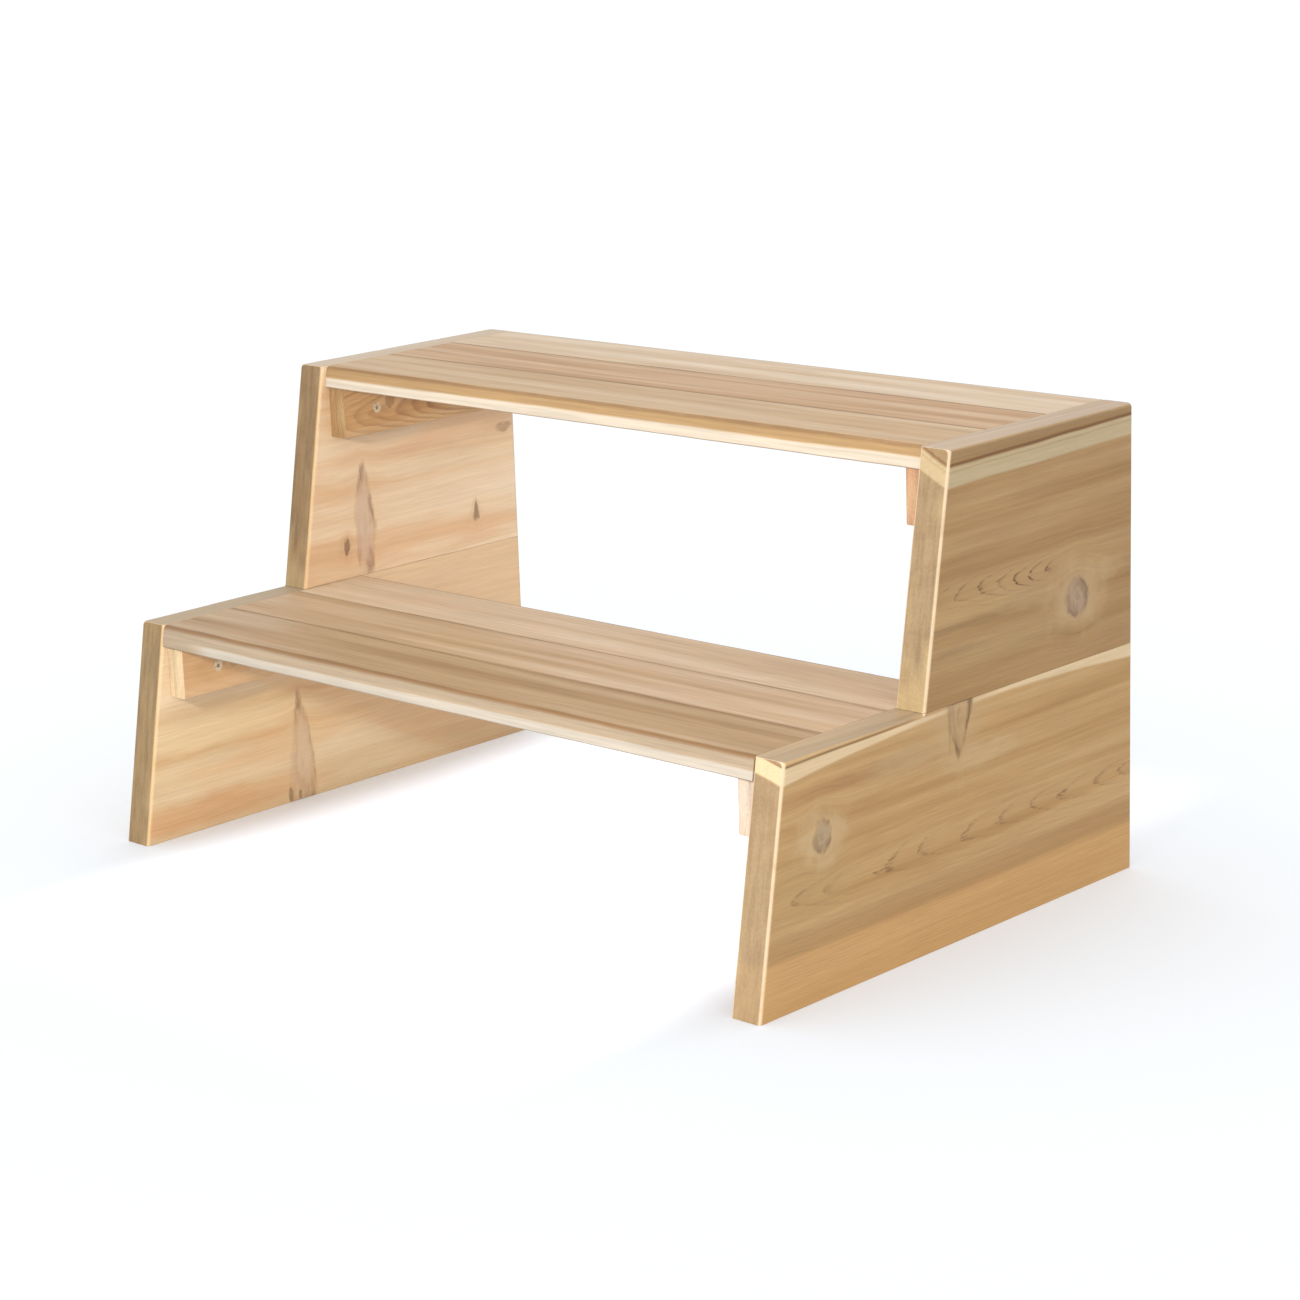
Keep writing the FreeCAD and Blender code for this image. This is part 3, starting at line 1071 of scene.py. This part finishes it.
for node, look in cleatLooks.items():
    low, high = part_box(node)
    onRight = high[0] > 0
    showFace = low[0] if onRight else high[0]
    look = {**cleatBase, **look, "showFace": showFace, "faceSign": -1 if onRight else 1}
    dress(node, makeCedar("cedar_" + node, look))
print("cleats finished")

screwLook = {
    "coat": (226, 206, 172),    # tan coating of outdoor screws
    "coatWorn": (190, 172, 146),
    "cloudScale": (420, 420, 420),
    "pitScale": (2600, 1500, 2600),
    "worn": (0.48, 0.66),    # where the coating starts to wear, and where it has
    "metallic": (0.15, 0.7),    # coated and worn
    "roughness": (0.3, 0.5),
    "pitting": 0.00004,
}

beechLook = {
    "pale": (214, 178, 138),
    "fleck": (184, 140, 98),
    "fleckScale": (900, 900, 160),
    "toneScale": (120, 120, 30),
    "flecked": (0.55, 0.72),
    "roughness": (0.5, 0.68),
    "relief": 0.0001,
}


def makeCoatedSteel():
    look = screwLook
    material, shader, place = plainMaterial("screwSteel")
    cloudy = noiseAt(place, look["cloudScale"], 3, 0.6)
    pits = noiseAt(place, look["pitScale"], 2, 0.6)
    worn = fade(cloudy, *look["worn"])
    plug(shader.inputs["Base Color"], stain(tint(*look["coat"]), worn, look["coatWorn"]))
    plug(shader.inputs["Metallic"], fade(worn, 0, 1, *look["metallic"]))
    plug(shader.inputs["Roughness"], fade(cloudy, 0.3, 0.7, *look["roughness"]))
    addBump(shader, pits, look["pitting"])
    return material


def makeBeech():
    look = beechLook
    material, shader, place = plainMaterial("dowelBeech")
    flecks = noiseAt(place, look["fleckScale"], 2, 0.6)
    tone = noiseAt(place, look["toneScale"])
    flecked = fade(flecks, *look["flecked"])
    plug(shader.inputs["Base Color"], stain(tint(*look["pale"]), flecked, look["fleck"]))
    plug(shader.inputs["Roughness"], fade(tone, 0.3, 0.7, *look["roughness"]))
    addBump(shader, flecks, look["relief"])
    return material


hardware = {"_screws": makeCoatedSteel(), "_dowels": makeBeech()}
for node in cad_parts:
    for ending, material in hardware.items():
        if node.endswith(ending):
            dress(node, material)
print("screws and dowels finished")

studio = {
    "floorReach": 60,
    "floorTone": (0.8, 0.83, 0.86),
    "floorRough": 0.9,
    "glowTone": (0.94, 1, 1.12),    # a little cool, against the warm light off the wood
    "floorGlow": 0.17,    # of the open floor
    "floorLift": 0.5,    # painted light added to the floor between the side panels, lifting the shade under the steps
    "liftAside": (0.03, 0.11),    # it starts and is full this far inside the panels
    "liftBeyond": (0.3, -0.1),    # and this far past their front and back
    "domeTone": (1, 0.995, 0.985),
    "domeLevel": 1.06,
    "lamps": {    # place, size and power of each round lamp, all aimed at the steps
        "keyLight": ((0.3, -1.35, 0.76), 0.14, 15),
        "sideFill": ((1.3, -1.75, 0.75), 0.7, 12),
    },
    "lampAim": (0, 0, 0.15),
    "lampTone": (1, 0.94, 0.84),
}

cameraView = {
    "place": (1.8276, -1.8831, 0.8433),
    "turn": radians(43.38),
    "tip": radians(14.31),
    "roll": radians(1.91),
    "lens": 91.33,
    "sensor": 36,
    "clip": (0.05, 200),
}


def makeFloor():
    reach = studio["floorReach"]
    mesh = bpy.data.meshes.new("studioFloor")
    corners = [(-reach, -reach, 0), (reach, -reach, 0), (reach, reach, 0), (-reach, reach, 0)]
    mesh.from_pydata(corners, [], [(0, 1, 2, 3)])
    floor = newObject("studioFloor", mesh)
    material, shader, place = plainMaterial("studioFloor")
    shader.inputs["Base Color"].default_value = (*studio["floorTone"], 1)
    shader.inputs["Roughness"].default_value = studio["floorRough"]
    shader.inputs["Specular IOR Level"].default_value = 0
    parts = splitAxes(place)
    halfWide, halfDeep = cadBox[1][0], cadBox[1][1]
    insideStart, insideFull = studio["liftAside"]
    beyondStart, beyondFull = studio["liftBeyond"]
    # painted light: the floor glows brighter between the side panels, where the steps shade it
    between = times(
        fade(calc("ABSOLUTE", parts[0]), halfWide - insideStart, halfWide - insideFull),
        fade(calc("ABSOLUTE", parts[1]), halfDeep + beyondStart, halfDeep + beyondFull),
    )
    shader.inputs["Emission Color"].default_value = (*studio["glowTone"], 1)
    glow = sloped(between, studio["floorLift"], studio["floorGlow"])
    plug(shader.inputs["Emission Strength"], glow)
    mesh.materials.append(material)
    return floor


def makeLights(floor):
    world = bpy.data.worlds.new("studioDome")
    bpy.context.scene.world = world
    world.use_nodes = True
    background = world.node_tree.nodes["Background"]
    background.inputs["Color"].default_value = (*studio["domeTone"], 1)
    background.inputs["Strength"].default_value = studio["domeLevel"]
    lit = bpy.data.collections.new("lampLit")    # the lamps light everything but the floor
    lit.objects.link(floor)
    lit.collection_objects[0].light_linking.link_state = "EXCLUDE"
    for name, (place, size, power) in studio["lamps"].items():
        light = bpy.data.lights.new(name, "AREA")
        light.shape = "DISK"
        light.size = size
        light.energy = power
        light.color = studio["lampTone"]
        lamp = newObject(name, light)
        lamp.location = Vector(place)
        backward = Vector(place) - Vector(studio["lampAim"])
        lamp.rotation_euler = backward.to_track_quat("Z", "Y").to_euler()
        lamp.light_linking.receiver_collection = lit


def makeCamera():
    # looks along the turn and tip, then rolls about that line
    turn, tip, roll = cameraView["turn"], cameraView["tip"], cameraView["roll"]
    ahead = Vector((-sin(turn) * cos(tip), cos(turn) * cos(tip), -sin(tip)))
    level = Vector((cos(turn), sin(turn), 0))
    down = ahead.cross(level)
    right = level * cos(roll) + down * sin(roll)
    up = level * sin(roll) - down * cos(roll)
    data = bpy.data.cameras.new("stepsCamera")
    data.lens = cameraView["lens"]
    data.sensor_width = cameraView["sensor"]
    data.clip_start, data.clip_end = cameraView["clip"]
    camera = newObject("stepsCamera", data)
    turned = Matrix((right, up, -ahead)).transposed()
    camera.matrix_world = Matrix.Translation(cameraView["place"]) @ turned.to_4x4()
    bpy.context.scene.camera = camera


makeLights(makeFloor())
makeCamera()
bpy.context.scene.view_settings.view_transform = "Standard"
print("floor, light and camera made")

print("cad box", cadBox)
